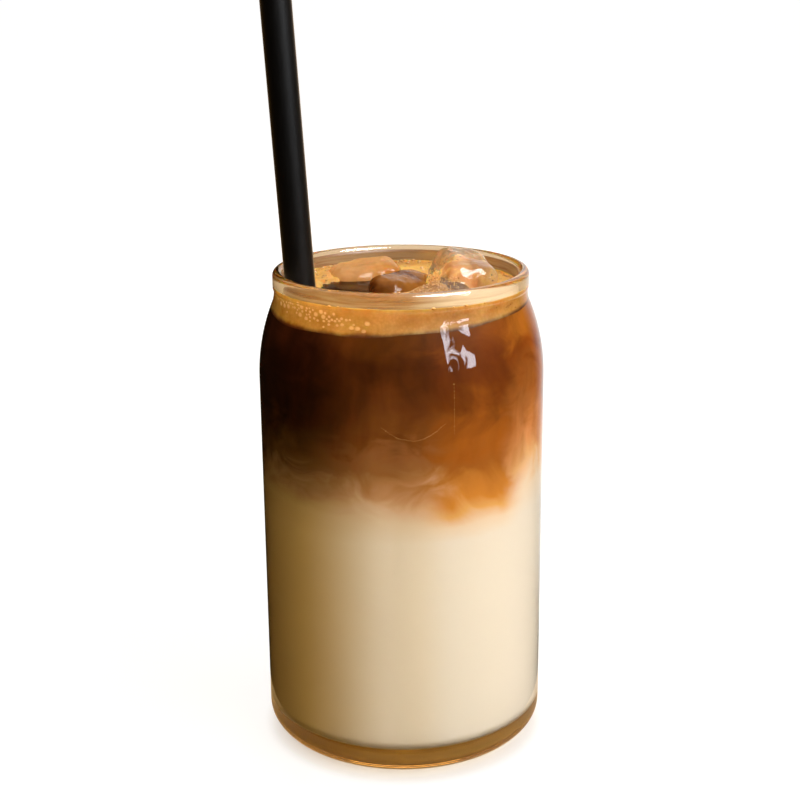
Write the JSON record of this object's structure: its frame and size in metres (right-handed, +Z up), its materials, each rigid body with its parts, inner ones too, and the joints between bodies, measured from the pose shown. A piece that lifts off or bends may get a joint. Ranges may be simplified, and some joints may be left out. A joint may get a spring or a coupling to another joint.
{
  "type": "iced coffee",
  "caption": "Layered iced coffee in a can-shaped clear glass: milk below, dark coffee above, golden crema, ice lumps and a black straw.",
  "frame": {"origin": "centre of the glass's foot, on the surface that it stands on", "axes": "+Z up along the glass's axis, -Y the front, the straw leaning towards -X"},
  "size_m": [0.076, 0.076, 0.2181],
  "materials": {
    "clear_glass": "clear, fire-polished rim, gloss",
    "milk": "opaque cream-white milk",
    "coffee": "dark brown coffee, clouded with milk below",
    "crema": "fine golden foam with bubbles",
    "ice": "melting clear ice with trapped bubbles",
    "straw": "satin black"
  },
  "bodies": {
    "root": {"glass": "clear_glass", "milk": "milk", "coffee": "coffee", "crema": "crema", "ice_right": "ice", "ice_back": "ice", "ice_middle": "ice", "straw": "straw"}
  },
  "joints": []
}
